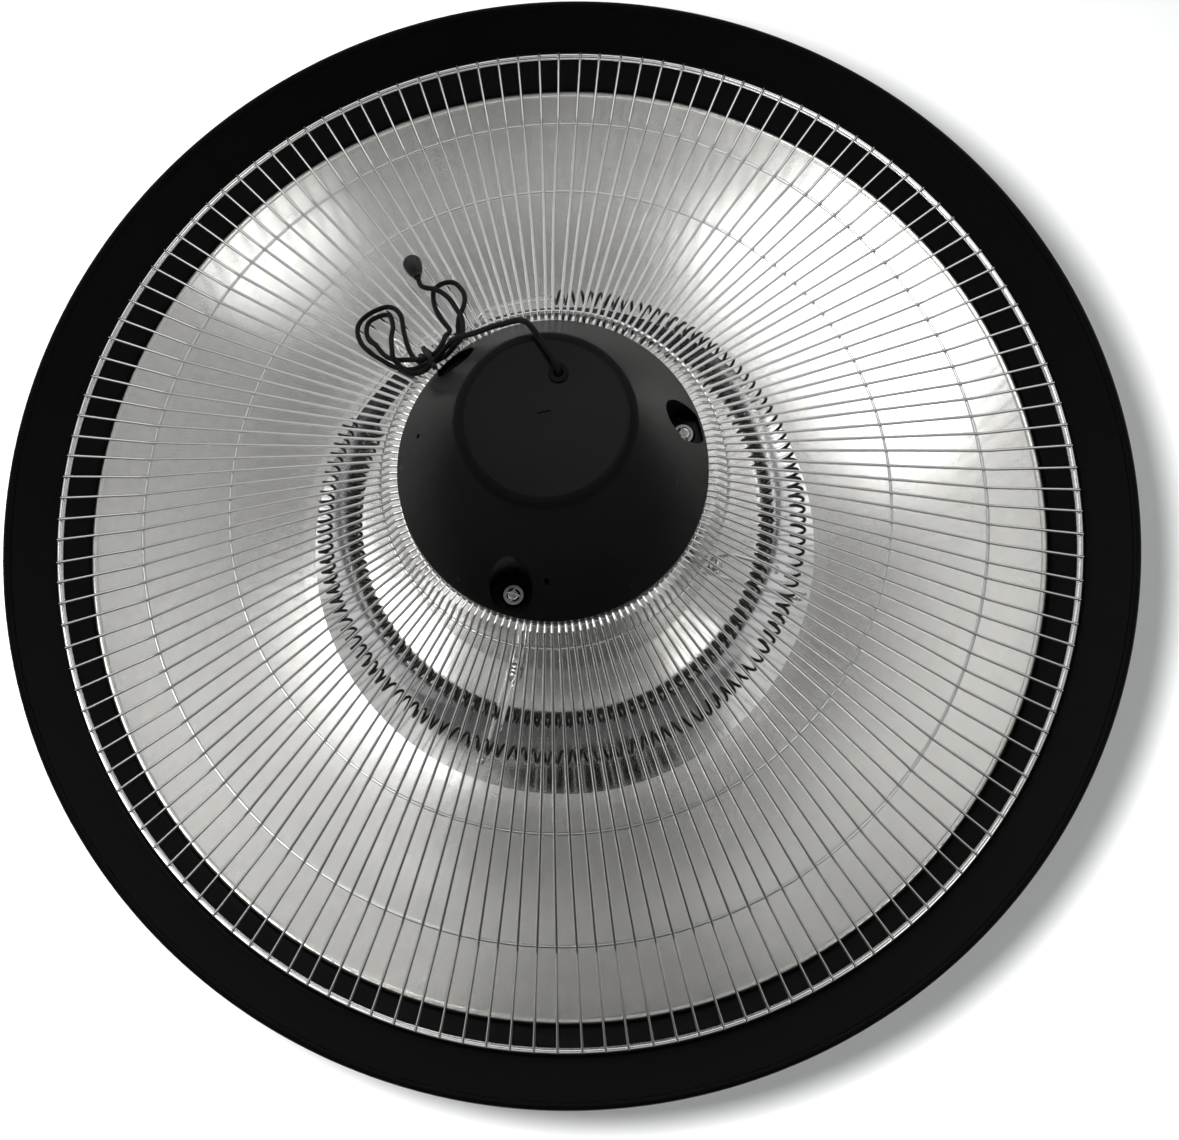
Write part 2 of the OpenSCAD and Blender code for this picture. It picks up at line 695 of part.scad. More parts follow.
// Spring clip: a loop round its screw, with two legs that run on from under the screw's head along the
// wall. One turns out over the inner tube, the other under and round the outer.
module tube_clip() {
    w = clip_wire_d;
    leg_y = w * 1.5;
    r = flare_r(-clip_sink);
    tilt = atan((r - column_r) / flare_len);
    off = [cos(tilt), sin(tilt)];
    up = [-sin(tilt), cos(tilt)];
    foot = [r, -clip_sink] + (w / 2 + gap) * off;
    run = clip_head_d / 2 + w;
    rise = gap * 1.5;
    reach = tube_d / 2 + w / 2 + gap;
    inner = [rings[1].x, rings[1].y];
    outer = [rings[0].x, rings[0].y];
    clip_foot()
        translate([0, 0, w / 2 + gap])
            rotate_extrude()
                translate([leg_y, 0])
                    circle(d = w);
    translate([0, leg_y, 0])
        bent_wire([foot, foot + run * up + rise * off, [inner.x - 11, inner.y + reach],
            [inner.x + reach, inner.y + reach], [inner.x + reach + 0.4, inner.y - 2]], w, 2.4);
    translate([0, -leg_y, 0])
        bent_wire([foot, foot - run * up + rise * off, [inner.x - 3, outer.y - reach],
            [outer.x + reach, outer.y - reach], [outer.x + reach, outer.y + reach],
            [outer.x - 1, outer.y + reach + 1]], w, 2.4);
}

module tube_clips() color("silver") facing() {
    around(clip_angles)
        tube_clip();
}

module clip_screws() color("silver") facing() {
    around(clip_angles)
        clip_foot()
            translate([0, 0, clip_wire_d + 3 * gap])
                rotate([180, 0, 0])
                    pan_screw(2, clip_head_d, 1.4, clip_wire_d + 4);
}

// Guard

module guard_ring() color("silver") facing() {
    translate([0, 0, ring_z])
        wire_ring(ring_r, ring_wire_d);
}

module guard_cross_rings() color("silver") facing() {
    for (r = [knee_d / 2 - 1.5, mid_ring_d / 2, neck_d / 2 + 1.5])
        translate([0, 0, bar_z(r) - cross_off * cos(cone_slope)])
            wire_ring(r - cross_off * sin(cone_slope), cross_wire_d);
}

// One bar: round over the cone, with both bent ends pressed square
module guard_bar() {
    knee = bar_profile[1];
    neck = bar_profile[2];
    slope = unit(neck - knee);
    translate([knee.x, 0, knee.y])
        rotate([0, atan2(slope.x, slope.y), 0])
            cylinder(d = bar_wire_d, h = norm(neck - knee));
    pressed_wire([bar_profile[0], knee, knee + press_run * slope], bar_wire_d + weld);
    pressed_wire([neck - press_run * slope, neck, bar_profile[3], bar_profile[4]], bar_wire_d + weld);
}

module guard_bars() color("silver") facing() {
    for (i = [0:bar_count - 1])
        rotate([0, 0, 360 * i / bar_count])
            guard_bar($fn = 24);
}

// Hub

module hub_plate() color("silver") facing() {
    translate([0, 0, plate_z])
        difference() {
            cylinder(r = cover_d / 2 - 1.2, h = plate_t, $fn = 96);
            around(screw_angles)
                translate([screw_circle_d / 2, 0, -1])
                    cylinder(d = screw_d + 2 * gap, h = plate_t + 2);
            translate([-22, -18, -1])
                cylinder(d = 14, h = plate_t + 2);
            for (s = [-1, 1])
                translate([cord_x + s * (switch_l / 2 + 3.5), cord_y, -1])
                    cylinder(d = 3.2, h = plate_t + 2);
        }
}

// Cover: a cone with a flat face, a short upright foot, and a sunk pocket round each screw
module hub_cover() color("#161616") facing() {
    r = cover_d / 2;
    f = face_d / 2;
    foot = cover_foot;
    step = lip_h;
    outside = concat([[0, foot], [r, foot]],
        curve([r, foot + step - 1], [r, foot + step], [r - 0.6, foot + step + 1], 4),
        curve([f + 1.2, face_z - 2.4], [f, face_z], [f - 2.4, face_z], 5), [[0, face_z]]);
    w = cover_wall;
    inside = concat([[0, foot - 1], [r - w, foot - 1], [r - w, foot + step]],
        curve([f + 1.2 - w, face_z - 2.4 - w], [f - w, face_z - w], [f - 2.4 - w, face_z - w], 5),
        [[0, face_z - w]]);
    well_h = cover_h;
    difference() {
        intersection() {
            rotate_extrude($fn = 144)
                polygon(outside);
            union() {
                difference() {
                    translate([0, 0, foot - 2])
                        cylinder(r = r + 5, h = cover_h + 10);
                    rotate_extrude($fn = 144)
                        polygon(inside);
                }
                around(screw_angles)
                    translate([screw_circle_d / 2, 0, pocket_floor - w])
                        cylinder(d = pocket_d + 2 * w * 0.75, h = well_h);
            }
        }
        intersection() {
            around(screw_angles)
                translate([screw_circle_d / 2, 0, pocket_floor])
                    cylinder(d = pocket_d, h = well_h);
            cylinder(r = r - w * 0.6, h = face_z + 5, $fn = 144);
        }
        around(screw_angles)
            translate([screw_circle_d / 2, 0, foot - 1])
                cylinder(d = screw_d + 2 * gap, h = 12);
        around(drain_angles)
            translate([drain_r, 0, foot - 1])
                cylinder(d = 1.6, h = cover_h);
        translate([cord_x, cord_y, foot])
            cylinder(d = bush_d + 2 * slide_gap, h = cover_h + 1);
        rotate([0, 0, 8])
            translate([-2, -2, face_z - 0.6])
                cube([4, 4, 2]);
    }
}

module cup_washers() color("silver") facing() {
    around(screw_angles)
        translate([screw_circle_d / 2, 0, pocket_floor + gap])
            rotate_extrude()
                polygon([[screw_d / 2 + slide_gap, 0], [washer_d / 2, 0], [washer_d / 2, cup_floor],
                    [(cup_r + washer_d / 2) / 2, cup_t], [cup_r, cup_t], [cup_r, cup_floor],
                    [screw_d / 2 + slide_gap, cup_floor]]);
}

module hub_screws() color("silver") facing() {
    around(screw_angles)
        translate([screw_circle_d / 2, 0, pocket_floor + cup_floor + 2 * gap])
            rotate([180, 0, 0])
                pan_screw(screw_d, hub_head_d, screw_d / 2, pocket_floor - post_top + screw_bite);
}

// Switch and pull cord

module switch_housing() color("ivory") facing() {
    translate([cord_x, cord_y, switch_z + gap])
        difference() {
            union() {
                translate([-switch_l / 2, -switch_w / 2, 0])
                    cube([switch_l, switch_w, switch_h]);
                translate([-switch_l / 2 - 7, -5, 0])
                    cube([switch_l + 14, 10, 2.5]);
            }
            translate([0, 0, plunger_low - switch_z - 2])
                cylinder(d = plunger_d + 2 * slide_gap, h = switch_h);
            for (s = [-1, 1])
                translate([s * (switch_l / 2 + 3.5), 0, -1])
                    cylinder(d = 3.2, h = 5);
        }
}

module switch_screws() color("silver") facing() {
    for (s = [-1, 1])
        translate([cord_x + s * (switch_l / 2 + 3.5), cord_y, switch_z + 2.5 + 2 * gap])
            rotate([180, 0, 0])
                pan_screw(2.8, 5, 1.8, 7);
}

module switch_plunger() color("#c8c4b8") facing() {
    translate([cord_x, cord_y, 0]) {
        translate([0, 0, plunger_low])
            cylinder(d = plunger_d, h = plunger_top - plunger_low - 1);
        translate([0, 0, plunger_top - plunger_head])
            cylinder(d = plunger_d + 3, h = plunger_head);
    }
}

module cord_bush() color("#101010") facing() {
    translate([cord_x, cord_y, face_z])
        difference() {
            union() {
                translate([0, 0, -cover_wall - 0.5])
                    cylinder(d = bush_d, h = cover_wall + 0.5 + bush_flange / 2);
                translate([0, 0, slide_gap])
                    cylinder(d = bush_d + 1.6, h = bush_flange);
            }
            translate([0, 0, -cover_wall - 1])
                cylinder(d = cord_d + 1, h = cover_wall + 4);
        }
}

module pull_cord() color("#0c0c0c") facing() {
    echo(str("least gap of the pull cord to itself: ", least_gap(cord_route, cord_d, 3), " mm"));
    echo(str("length of the pull cord: ",
        ceil(sum([for (i = [1:len(cord_route) - 1]) norm(cord_route[i] - cord_route[i - 1])])), " mm"));
    tube_along(cord_route, carried(cord_route, [1, 0, 0]), cord_d, 8);
}

// Flat oblong with round ends
module oblong(w, h) {
    for (s = [-1, 1])
        translate([s * (w - h) / 2, 0])
            circle(d = h);
    square([w - h, h], center = true);
}

// Tie: a flat band round the strands where the loops meet, its ends twisted together
module cord_tie() color("#0c0c0c") facing() {
    translate(tie_at)
        rotate([0, 0, tie_turn])
            rotate([0, 90, 0])
                rotate([0, 0, 45.5]) {
                    linear_extrude(tie_w, center = true)
                        difference() {
                            oblong(12, 7);
                            oblong(11, 6);
                        }
                    translate([-8.2, 0, 0])
                        rotate([0, 90, 0])
                            cylinder(d = 1.2, h = 2.5);
                }
}

// Knob: a drop-shaped pull with the cord let into its neck
module pull_knob() color("#141414") facing() {
    r = knob_d / 2;
    l = knob_l;
    translate(cord_end)
        rotate([0, acos(cord_aim.z), atan2(cord_aim.y, cord_aim.x)])
            rotate_extrude()
                polygon(concat([[0, slide_gap / 2], [cord_d / 2 + 0.7, slide_gap / 2]],
                    curve([cord_d / 2 + 0.7, slide_gap / 2], [r * 0.9, l * 0.25], [r, l - r], 6),
                    [for (a = [10:10:80]) [r * cos(a), l - r + r * sin(a)]], [[0, l]]));
}

function sum(list) = [for (v = list) 1] * list;

hanging_eye();
eye_washer();
eye_nut();
top_cap();
cable_gland();
gland_dome();
gland_nut();
shade();
terminal_block();
terminal_screws();
support_posts();
post_screws();
outer_reflector();
inner_reflector();
outer_tube();
inner_tube();
outer_coil();
inner_coil();
element_leads();
end_sockets();
tube_clips();
clip_screws();
guard_ring();
guard_cross_rings();
guard_bars();
hub_plate();
hub_cover();
cup_washers();
hub_screws();
switch_housing();
switch_screws();
switch_plunger();
cord_bush();
pull_cord();
cord_tie();
pull_knob();
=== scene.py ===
import math

import bpy
import numpy as np
from mathutils import Matrix, Vector


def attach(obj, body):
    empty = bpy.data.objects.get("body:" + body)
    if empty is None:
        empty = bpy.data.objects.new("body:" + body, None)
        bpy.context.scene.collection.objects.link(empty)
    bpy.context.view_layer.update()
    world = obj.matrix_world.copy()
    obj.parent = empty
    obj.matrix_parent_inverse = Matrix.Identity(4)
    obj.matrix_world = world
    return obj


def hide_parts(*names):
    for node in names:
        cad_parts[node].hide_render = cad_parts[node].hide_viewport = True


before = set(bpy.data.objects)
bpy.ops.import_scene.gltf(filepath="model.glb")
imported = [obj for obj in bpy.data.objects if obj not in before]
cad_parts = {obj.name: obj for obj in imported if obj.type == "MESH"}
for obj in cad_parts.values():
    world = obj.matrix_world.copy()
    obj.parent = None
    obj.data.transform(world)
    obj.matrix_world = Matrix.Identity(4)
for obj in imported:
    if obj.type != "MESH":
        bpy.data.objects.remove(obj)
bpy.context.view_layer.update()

# Sizes in millimetres. The face frame has x to the right and y up in the picture, z towards the
# room and 0 in the rim plane. The row frame is X = x, Y = -y, Z = -RIM_DROP - z.
RIM_DROP = 142.3
rng = np.random.default_rng(11)


def row(points):
    """Face-frame millimetres to row-frame metres."""
    p = np.asarray(points, float)
    return np.stack([p[..., 0], -p[..., 1], -RIM_DROP - p[..., 2]], -1) / 1000


# Camera
FOCAL_PX, FRAME_W, FRAME_H = 1236.0, 1179.0, 1140.0
PRINCIPAL = (530.0, 590.0)
CAM_FACE = (5.4, -115.2, 448.5)
ROLL, YAW, PITCH = -4.63, 3.19, 10.56

cam_data = bpy.data.cameras.new("view_camera")
cam = bpy.data.objects.new("view_camera", cam_data)
bpy.context.collection.objects.link(cam)
bpy.context.scene.camera = cam
turn = (Matrix.Rotation(math.radians(ROLL), 3, "Z") @ Matrix.Rotation(math.radians(YAW), 3, "Y")
        @ Matrix.Rotation(math.radians(PITCH), 3, "X"))
flip = Matrix(((1, 0, 0), (0, -1, 0), (0, 0, -1)))
cam.matrix_world = Matrix.Translation(Vector(row(CAM_FACE))) @ (flip @ turn).to_4x4()
cam_data.sensor_width = 36.0
cam_data.lens = 36.0 * FOCAL_PX / FRAME_W
cam_data.shift_x = (FRAME_W / 2 - PRINCIPAL[0]) / FRAME_W
cam_data.shift_y = (PRINCIPAL[1] - FRAME_H / 2) / FRAME_W
cam_data.clip_start, cam_data.clip_end = 0.01, 50.0

scene = bpy.context.scene
scene.view_settings.view_transform = "Standard"


# Mesh helpers
def add_mesh(name, verts, faces, smooth=True, sharp=None):
    mesh = bpy.data.meshes.new(name)
    mesh.from_pydata([tuple(v) for v in verts], [], faces)
    mesh.validate()
    obj = bpy.data.objects.new(name, mesh)
    bpy.context.collection.objects.link(obj)
    if smooth:
        mesh.shade_smooth()
        if sharp is not None:
            mesh.set_sharp_from_angle(angle=math.radians(sharp))
    return obj


def join_data(parts):
    """One vertex and face list from several."""
    verts, faces, base = [], [], 0
    for v, f in parts:
        v = np.asarray(v, float)
        verts.append(v)
        faces += [tuple(i + base for i in face) for face in f]
        base += len(v)
    return np.vstack(verts), faces


def revolve(profile, segments=256, closed=True):
    """Surface of revolution about the face frame's z from a profile of [radius, z] points."""
    p = np.asarray(profile, float)
    n = len(p)
    a = np.linspace(0, 2 * math.pi, segments, endpoint=False)
    verts = np.stack([np.outer(np.cos(a), p[:, 0]), np.outer(np.sin(a), p[:, 0]),
                      np.tile(p[:, 1], (segments, 1))], -1).reshape(-1, 3)
    faces = []
    last = n if closed else n - 1
    for i in range(segments):
        j = (i + 1) % segments
        for k in range(last):
            m = (k + 1) % n
            faces.append((i * n + k, j * n + k, j * n + m, i * n + m))
    return verts, faces


def torus(radius, z, wire, segments=360, sides=20):
    a = np.linspace(0, 2 * math.pi, sides, endpoint=False)
    return revolve(np.stack([radius + wire / 2 * np.cos(a), z + wire / 2 * np.sin(a)], -1), segments)


def resampled(points, step):
    """A smooth curve through the points, with a point about every step."""
    p = np.asarray(points, float)
    ext = np.vstack([2 * p[0] - p[1], p, 2 * p[-1] - p[-2]])
    out = []
    for i in range(1, len(ext) - 2):
        p0, p1, p2, p3 = ext[i - 1], ext[i], ext[i + 1], ext[i + 2]
        t = [0.0]
        for a, b in ((p0, p1), (p1, p2), (p2, p3)):
            t.append(t[-1] + math.sqrt(np.linalg.norm(b - a)))
        n = max(2, int(round(np.linalg.norm(p2 - p1) / step)))
        for s in np.linspace(t[1], t[2], n, endpoint=False):
            a1 = (t[1] - s) / (t[1] - t[0]) * p0 + (s - t[0]) / (t[1] - t[0]) * p1
            a2 = (t[2] - s) / (t[2] - t[1]) * p1 + (s - t[1]) / (t[2] - t[1]) * p2
            a3 = (t[3] - s) / (t[3] - t[2]) * p2 + (s - t[2]) / (t[3] - t[2]) * p3
            b1 = (t[2] - s) / (t[2] - t[0]) * a1 + (s - t[0]) / (t[2] - t[0]) * a2
            b2 = (t[3] - s) / (t[3] - t[1]) * a2 + (s - t[1]) / (t[3] - t[1]) * a3
            out.append((t[2] - s) / (t[2] - t[1]) * b1 + (s - t[1]) / (t[2] - t[1]) * b2)
    out.append(ext[-2])
    return np.array(out)


def sweep(points, radius, sides=12, ref=(0.0, 0.0, 1.0), caps=True, lobes=0, lay=3.0, depth=0.0):
    """Round tube along points. lobes, lay and depth give it the strands of a braid, wound both ways."""
    p = np.asarray(points, float)
    t = np.gradient(p, axis=0)
    t /= np.linalg.norm(t, axis=1)[:, None]
    n = np.asarray(ref, float)
    run = np.concatenate([[0], np.cumsum(np.linalg.norm(np.diff(p, axis=0), axis=1))])
    a = np.linspace(0, 2 * math.pi, sides, endpoint=False)
    verts = []
    for i in range(len(p)):
        n = n - np.dot(n, t[i]) * t[i]
        n /= np.linalg.norm(n)
        b = np.cross(t[i], n)
        out = radius
        if lobes:
            phase = 2 * math.pi * run[i] / lay
            out = radius * (1 - depth + depth * np.maximum(np.abs(np.cos(lobes * a / 2 + phase)),
                                                           np.abs(np.cos(lobes * a / 2 - phase))))
        verts.append(p[i] + (np.cos(a) * out)[:, None] * n + (np.sin(a) * out)[:, None] * b)
    verts = np.vstack(verts)
    faces = []
    for i in range(len(p) - 1):
        for k in range(sides):
            m = (k + 1) % sides
            faces.append((i * sides + k, i * sides + m, (i + 1) * sides + m, (i + 1) * sides + k))
    if caps:
        faces.append(tuple(range(sides - 1, -1, -1)))
        faces.append(tuple((len(p) - 1) * sides + k for k in range(sides)))
    return verts, faces


def bend_line(points, radius, steps=6):
    """A line whose corners are rounded with arcs of a radius."""
    p = [np.asarray(q, float) for q in points]
    out = [p[0]]
    for i in range(1, len(p) - 1):
        u, v = p[i] - p[i - 1], p[i + 1] - p[i]
        lu, lv = np.linalg.norm(u), np.linalg.norm(v)
        u, v = u / lu, v / lv
        angle = math.acos(max(-1, min(1, float(np.dot(u, v)))))
        cut = min(radius * math.tan(angle / 2), lu * 0.49, lv * 0.49)
        a, c = p[i] - cut * u, p[i] + cut * v
        for s in np.linspace(0, 1, steps):
            out.append((1 - s) ** 2 * a + 2 * s * (1 - s) * p[i] + s * s * c)
    out.append(p[-1])
    return np.array(out)


def curve(a, b, c, n):
    """n + 1 points of a curve from a to c that heads for b."""
    a, b, c = (np.asarray(q, float) for q in (a, b, c))
    t = np.linspace(0, 1, n + 1)[:, None]
    return a * (1 - t) ** 2 + b * 2 * t * (1 - t) + c * t * t


def beside(line, d):
    """A plane line moved sideways by d."""
    p = np.asarray(line, float)
    h = np.gradient(p, axis=0)
    h /= np.linalg.norm(h, axis=1)[:, None]
    return p + d * np.stack([h[:, 1], -h[:, 0]], -1)


def sheet_profile(line, d):
    """Outline of a sheet of thickness d along a plane line."""
    p = np.asarray(line, float)
    return np.vstack([p, beside(p, d)[::-1]])


def turned(verts, degrees):
    """Points turned about the face frame's z."""
    a = math.radians(degrees)
    m = np.array([[math.cos(a), -math.sin(a), 0], [math.sin(a), math.cos(a), 0], [0, 0, 1]])
    return np.asarray(verts, float) @ m.T


def piece(name, parts, body, material, replaced, sharp=35):
    """A visible piece from face-frame parts, in place of a CAD node. The row frame turns the face
    frame's y and z over, which is a rotation, so faces keep their side."""
    v, f = join_data(parts)
    obj = add_mesh(name, row(v), f, sharp=sharp)
    obj.data.materials.append(material)
    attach(obj, body)
    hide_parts(replaced)
    return obj


# Materials
class Nodes:
    """Small helper that builds the node tree of a material, or of the world."""

    def __init__(self, name, world=False):
        self.mat = bpy.data.worlds.new(name) if world else bpy.data.materials.new(name)
        self.mat.use_nodes = True
        self.tree = self.mat.node_tree
        self.tree.nodes.clear()
        self.out = self.node("OutputWorld" if world else "OutputMaterial")

    def node(self, kind, **settings):
        n = self.tree.nodes.new("ShaderNode" + kind)
        for k, v in settings.items():
            setattr(n, k, v)
        return n

    def link(self, a, b):
        self.tree.links.new(a, b)

    def noise(self, scale, detail=2.0, rough=0.5, vector=None):
        n = self.node("TexNoise")
        n.inputs["Scale"].default_value = scale
        n.inputs["Detail"].default_value = detail
        n.inputs["Roughness"].default_value = rough
        n.inputs["Distortion"].default_value = 0.0
        self.link(vector if vector is not None else self.coords(), n.inputs["Vector"])
        return n.outputs["Fac"]

    def coords(self):
        return self.node("TexCoord").outputs["Object"]

    def ramp(self, fac, stops):
        n = self.node("ValToRGB")
        while len(n.color_ramp.elements) < len(stops):
            n.color_ramp.elements.new(0.5)
        for e, (pos, col) in zip(n.color_ramp.elements, stops):
            e.position = pos
            e.color = (*col, 1)
        self.link(fac, n.inputs["Fac"])
        return n.outputs["Color"]

    def span(self, fac, low, high, start=0.0, stop=1.0):
        n = self.node("MapRange")
        n.inputs["From Min"].default_value = start
        n.inputs["From Max"].default_value = stop
        n.inputs["To Min"].default_value = low
        n.inputs["To Max"].default_value = high
        self.link(fac, n.inputs["Value"])
        return n.outputs["Result"]

    def math(self, op, *values):
        n = self.node("Math", operation=op)
        for i, v in enumerate(values):
            if isinstance(v, (int, float)):
                n.inputs[i].default_value = v
            else:
                self.link(v, n.inputs[i])
        return n.outputs[0]

    def far(self, x, y):
        """Distance from the origin."""
        squares = self.math("MULTIPLY", x, x), self.math("MULTIPLY", y, y)
        return self.math("SQRT", self.math("ADD", *squares))

    def bump(self, height, distance, strength):
        n = self.node("Bump")
        n.inputs["Distance"].default_value = distance
        n.inputs["Strength"].default_value = strength
        self.link(height, n.inputs["Height"])
        return n.outputs["Normal"]

    def polar(self, radial, angular):
        """Object coordinates as radius, angle and height, with scales, for marks of spinning."""
        sep = self.node("SeparateXYZ")
        self.link(self.coords(), sep.inputs[0])
        x, y, z = sep.outputs
        radius = self.far(x, y)
        angle = self.math("ARCTAN2", y, x)
        com = self.node("CombineXYZ")
        self.link(self.math("MULTIPLY", radius, radial), com.inputs[0])
        self.link(self.math("MULTIPLY", angle, angular), com.inputs[1])
        self.link(self.math("MULTIPLY", z, radial), com.inputs[2])
        return com.outputs[0]

    def principled(self, **values):
        s = self.node("BsdfPrincipled")
        for k, v in values.items():
            sock = s.inputs[k.replace("_", " ")]
            if isinstance(v, bpy.types.NodeSocket):
                self.link(v, sock)
            else:
                sock.default_value = v
        self.surface(s)
        return s

    def plain(self, kind, color=None, strength=None):
        """A shader of one kind, with a colour or a strength where given."""
        n = self.node(kind)
        if color is not None:
            n.inputs["Color"].default_value = (*color, 1)
        if strength is not None:
            n.inputs["Strength"].default_value = strength
        return n

    def mix(self, fac, first, second):
        """One shader where fac is 0 and another where it is 1."""
        n = self.node("MixShader")
        self.link(fac, n.inputs["Fac"])
        self.link(first.outputs[0], n.inputs[1])
        self.link(second.outputs[0], n.inputs[2])
        return n

    def ray(self, kind):
        return self.node("LightPath").outputs[f"Is {kind} Ray"]

    def surface(self, shader):
        self.link(shader.outputs[0], self.out.inputs["Surface"])
        return self.mat


def shades(base, tint, more=None):
    """A darker and a lighter tone of a colour."""
    more = tint if more is None else more
    return tuple(c * (1 - tint) for c in base), tuple(min(1, c * (1 + more)) for c in base)


def enamel(name, base, rough, specular, speck=0.3):
    m = Nodes(name)
    dark, light = shades(base, 0.18)
    tone = m.noise(38, 3)
    dust = m.noise(900, 2, 0.6)
    col = m.ramp(m.math("ADD", m.math("MULTIPLY", tone, 1 - speck), m.math("MULTIPLY", dust, speck)),
                 [(0.3, dark), (0.7, light)])
    s = m.principled(Base_Color=col, Roughness=m.span(m.noise(120, 4), rough * 0.88, rough * 1.12),
                     Normal=m.bump(m.noise(1300, 2), 0.00002, 0.4))
    s.inputs["Specular IOR Level"].default_value = specular
    return m.mat


def metal(name, base, rough, vary=0.15, grain=1500.0, bump=0.00002, tint=0.06, polar=None, aniso=0.0):
    """Bare metal. polar gives it marks of spinning, and aniso draws its glare out along them."""
    m = Nodes(name)
    vector = m.polar(*polar) if polar else None
    tone = m.noise(60 if not polar else 1.0, 4, 0.6, vector)
    fine = m.noise(grain if not polar else 3.0, 3, 0.6, vector)
    dark, light = shades(base, tint)
    col = m.ramp(tone, [(0.25, dark), (0.75, light)])
    s = m.principled(Base_Color=col, Metallic=1.0,
                     Roughness=m.span(fine, rough * (1 - vary), rough * (1 + vary)),
                     Normal=m.bump(fine, bump, 0.6))
    if aniso:
        s.inputs["Anisotropic"].default_value = aniso
        s.inputs["Anisotropic Rotation"].default_value = 0.25
        tangent = m.node("Tangent", direction_type="RADIAL", axis="Z")
        m.link(tangent.outputs[0], s.inputs["Tangent"])
    return m.mat


def wire_metal_painted_sheen(name):
    """Bright wire whose tone is painted by distance from the axis: lighter in the band at the rim and a
    little darker over the dish, a painted sheen in place of reflected light.
    """
    m = Nodes(name)
    where = m.node("SeparateXYZ")
    m.link(m.polar(1.0, 1.0), where.inputs[0])
    fine = m.noise(1500, 3, 0.6)
    # Painted sheen: the tone goes from 0.64 near the hub to 0.62 around the knee and 0.70 in the band at
    # the rim.
    painted_sheen_radius = m.math("ADD", where.outputs[0], m.span(m.noise(45, 4, 0.6), -0.006, 0.006))
    col = m.ramp(m.span(painted_sheen_radius, 0.0, 1.0, 0.10, 0.20),
                 [(0.0, (0.64, 0.635, 0.63)), (0.6, (0.62, 0.62, 0.615)), (0.9, (0.70, 0.70, 0.695))])
    m.principled(Base_Color=col, Metallic=1.0, Roughness=m.span(fine, 0.13, 0.24),
                 Normal=m.bump(fine, 0.00001, 0.6))
    return m.mat


def plastic(name, base, rough, grain=700.0, bump=0.00005, specular=0.4):
    m = Nodes(name)
    dark, light = shades(base, 0.14, 0.1)
    col = m.ramp(m.noise(90, 3), [(0.3, dark), (0.7, light)])
    s = m.principled(Base_Color=col, Roughness=m.span(m.noise(grain, 3), rough * 0.85, rough * 1.15),
                     Normal=m.bump(m.noise(grain * 1.7, 2), bump, 0.5))
    s.inputs["Specular IOR Level"].default_value = specular
    return m.mat


mat_shade = enamel("black_enamel", (0.0026, 0.0026, 0.0027), 0.42, 0.085)
mat_hub = enamel("hub_enamel", (0.0080, 0.0086, 0.0082), 0.26, 0.02, 0.15)
mat_dish = metal("satin_dish", (0.79, 0.78, 0.755), 0.23, vary=0.2, bump=0.00001, tint=0.05,
                 polar=(260.0, 40.0), aniso=0.95)
mat_column = metal("polished_column", (0.92, 0.92, 0.91), 0.08, vary=0.3, bump=0.000003, tint=0.03,
                   polar=(420.0, 14.0))
mat_wire = wire_metal_painted_sheen("guard_wire")
mat_ring = metal("guard_ring_wire", (0.74, 0.74, 0.73), 0.17, vary=0.3, bump=0.00001, tint=0.08)
mat_chrome = metal("bright_steel", (0.72, 0.72, 0.71), 0.16, vary=0.3)
mat_zinc = metal("zinc_steel", (0.52, 0.52, 0.50), 0.34, vary=0.25, tint=0.14)
mat_brass = metal("plain_brass", (0.62, 0.47, 0.22), 0.28)
mat_coil = metal("resistance_wire", (0.055, 0.050, 0.048), 0.40, vary=0.2, grain=2600.0, tint=0.35)
mat_lead = metal("lead_wire", (0.60, 0.60, 0.58), 0.30, tint=0.15)
mat_ceramic = plastic("white_ceramic", (0.80, 0.79, 0.76), 0.28, grain=420.0, bump=0.00003, specular=0.5)
mat_black_plastic = plastic("black_plastic", (0.014, 0.014, 0.015), 0.45)
mat_ivory = plastic("ivory_plastic", (0.70, 0.66, 0.54), 0.42)
mat_knob = plastic("knob_plastic", (0.011, 0.011, 0.012), 0.34, specular=0.3)
mat_cord = plastic("black_braid", (0.0085, 0.0085, 0.0095), 0.72, grain=1800.0, bump=0.0001,
                   specular=0.2)


def quartz():
    """Clear glass that lets lamplight through to what it holds."""
    m = Nodes("clear_quartz")
    haze = m.span(m.noise(70, 3), 0.0, 0.03)
    glass = m.node("BsdfPrincipled")
    glass.inputs["Base Color"].default_value = (0.985, 0.99, 0.99, 1)
    glass.inputs["Transmission Weight"].default_value = 1.0
    glass.inputs["IOR"].default_value = 1.46
    m.link(haze, glass.inputs["Roughness"])
    return m.surface(m.mix(m.ray("Shadow"), glass, m.plain("BsdfTransparent", (0.93, 0.94, 0.94))))


mat_quartz = quartz()

